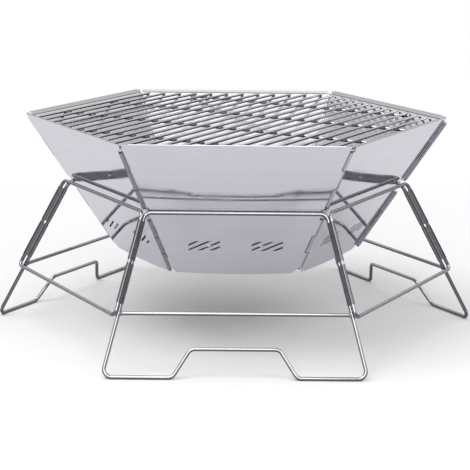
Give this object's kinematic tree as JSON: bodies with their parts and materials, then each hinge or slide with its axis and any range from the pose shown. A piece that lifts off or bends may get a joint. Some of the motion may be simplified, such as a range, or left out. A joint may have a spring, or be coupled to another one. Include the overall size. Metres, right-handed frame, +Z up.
{
  "type": "folding fire pit",
  "caption": "Hexagonal sheet steel fire bowl that folds like a screen, on a folding wire stand, with a plate, a grate and a cooking net loose in the bowl.",
  "frame": {"origin": "on the floor, under the middle of the bowl", "axes": "+Z up, +X to the right and -Y towards the viewer of the picture"},
  "size_m": [0.534, 0.4649, 0.2343],
  "materials": {
    "bowl_steel": "bright, near-mirror",
    "pin_steel": "satin",
    "stand_wire": "polished",
    "sleeve_steel": "satin",
    "plate_steel": "satin",
    "net_wire": "polished"
  },
  "bodies": {
    "stand_front": {"loop_front": "stand_wire", "cross_bar_front": "stand_wire", "sleeve_upper_front_left": "sleeve_steel", "sleeve_lower_front_left": "sleeve_steel"},
    "loop_front_right": {"loop_front_right": "stand_wire", "sleeve_upper_front_right": "sleeve_steel", "sleeve_lower_front_right": "sleeve_steel"},
    "stand_back_right": {"loop_back_right": "stand_wire", "cross_bar_back_right": "stand_wire", "sleeve_upper_right": "sleeve_steel", "sleeve_lower_right": "sleeve_steel"},
    "loop_front_left": {"loop_front_left": "stand_wire", "sleeve_upper_left": "sleeve_steel", "sleeve_lower_left": "sleeve_steel"},
    "stand_back_left": {"loop_back_left": "stand_wire", "cross_bar_back_left": "stand_wire", "sleeve_upper_back_left": "sleeve_steel", "sleeve_lower_back_left": "sleeve_steel"},
    "loop_back": {"loop_back": "stand_wire", "sleeve_upper_back_right": "sleeve_steel", "sleeve_lower_back_right": "sleeve_steel"},
    "panel_front": {"panel_front": "bowl_steel", "pin_front_right": "pin_steel", "pin_front_left": "pin_steel"},
    "panel_front_right": {"panel_front_right": "bowl_steel", "pin_right": "pin_steel"},
    "panel_back_right": {"panel_back_right": "bowl_steel"},
    "panel_front_left": {"panel_front_left": "bowl_steel", "pin_left": "pin_steel"},
    "panel_back_left": {"panel_back_left": "bowl_steel", "pin_back_left": "pin_steel"},
    "panel_back": {"panel_back": "bowl_steel", "pin_back_right": "pin_steel"},
    "ash_plate": {"ash_plate": "plate_steel"},
    "charcoal_grate": {"charcoal_grate": "plate_steel"},
    "cooking_net": {"net_bars": "net_wire", "net_cross_wires": "net_wire"}
  },
  "joints": [
    {"name": "bowl_lift", "type": "slide", "parent": "stand_front", "child": "panel_front", "axis": [0, 0, 1], "range_m": [0, 0.9]},
    {"name": "leg_hinge_front_right", "type": "hinge", "parent": "stand_front", "child": "loop_front_right", "pos_m": [0.11528, -0.19967, 0.07269], "axis": [-0.234, 0.4054, 0.8837], "range_deg": [0, 125.96]},
    {"name": "leg_hinge_right", "type": "hinge", "parent": "loop_front_right", "child": "stand_back_right", "pos_m": [0.23559, 0, 0.07536], "axis": [-0.4681, 0, 0.8837], "range_deg": [-234.08, 0]},
    {"name": "leg_hinge_front_left", "type": "hinge", "parent": "stand_front", "child": "loop_front_left", "pos_m": [-0.1178, -0.20403, 0.07536], "axis": [0.234, 0.4054, 0.8837], "range_deg": [0, 234.08]},
    {"name": "leg_hinge_left", "type": "hinge", "parent": "loop_front_left", "child": "stand_back_left", "pos_m": [-0.23056, 0, 0.07269], "axis": [0.4681, 0, 0.8837], "range_deg": [-125.96, 0]},
    {"name": "leg_hinge_back_left", "type": "hinge", "parent": "stand_back_left", "child": "loop_back", "pos_m": [-0.1178, 0.20403, 0.07536], "axis": [0.234, -0.4054, 0.8837], "range_deg": [0, 234.08]},
    {"name": "bowl_hinge_front_right", "type": "hinge", "parent": "panel_front", "child": "panel_front_right", "pos_m": [0.09143, -0.15836, 0.1596], "axis": [0.278, -0.4815, 0.8312], "range_deg": [0, 128.75]},
    {"name": "bowl_hinge_right", "type": "hinge", "parent": "panel_front_right", "child": "panel_back_right", "pos_m": [0.18614, 0, 0.1574], "axis": [0.556, 0, 0.8312], "range_deg": [-231.29, 0]},
    {"name": "bowl_hinge_front_left", "type": "hinge", "parent": "panel_front", "child": "panel_front_left", "pos_m": [-0.09307, -0.1612, 0.1574], "axis": [-0.278, -0.4815, 0.8312], "range_deg": [0, 231.29]},
    {"name": "bowl_hinge_left", "type": "hinge", "parent": "panel_front_left", "child": "panel_back_left", "pos_m": [-0.18286, 0, 0.1596], "axis": [-0.556, 0, 0.8312], "range_deg": [-128.75, 0]},
    {"name": "bowl_hinge_back_left", "type": "hinge", "parent": "panel_back_left", "child": "panel_back", "pos_m": [-0.09307, 0.1612, 0.1574], "axis": [-0.278, 0.4815, 0.8312], "range_deg": [0, 231.29]},
    {"name": "ash_plate_out", "type": "slide", "parent": "panel_front", "child": "ash_plate", "axis": [-0.4458, 0.2572, 0.8574], "range_m": [0, 0.58328]},
    {"name": "grate_lift", "type": "slide", "parent": "ash_plate", "child": "charcoal_grate", "axis": [0, 0, 1], "range_m": [0, 0.12]},
    {"name": "net_lift", "type": "slide", "parent": "charcoal_grate", "child": "cooking_net", "axis": [0, 0, 1], "range_m": [0, 0.12]}
  ],
  "couplings": [
    {"joint": "leg_hinge_front_right", "follows": "bowl_lift", "rad_per_m": 2.4423},
    {"joint": "leg_hinge_right", "follows": "bowl_lift", "rad_per_m": -4.539},
    {"joint": "leg_hinge_front_left", "follows": "bowl_lift", "rad_per_m": 4.539},
    {"joint": "leg_hinge_left", "follows": "bowl_lift", "rad_per_m": -2.4423},
    {"joint": "leg_hinge_back_left", "follows": "bowl_lift", "rad_per_m": 4.539},
    {"joint": "bowl_hinge_front_right", "follows": "bowl_lift", "rad_per_m": 2.4964},
    {"joint": "bowl_hinge_right", "follows": "bowl_lift", "rad_per_m": -4.485},
    {"joint": "bowl_hinge_front_left", "follows": "bowl_lift", "rad_per_m": 4.485},
    {"joint": "bowl_hinge_left", "follows": "bowl_lift", "rad_per_m": -2.4964},
    {"joint": "bowl_hinge_back_left", "follows": "bowl_lift", "rad_per_m": 4.485},
    {"joint": "ash_plate_out", "follows": "bowl_lift", "ratio": 0.64798}
  ]
}
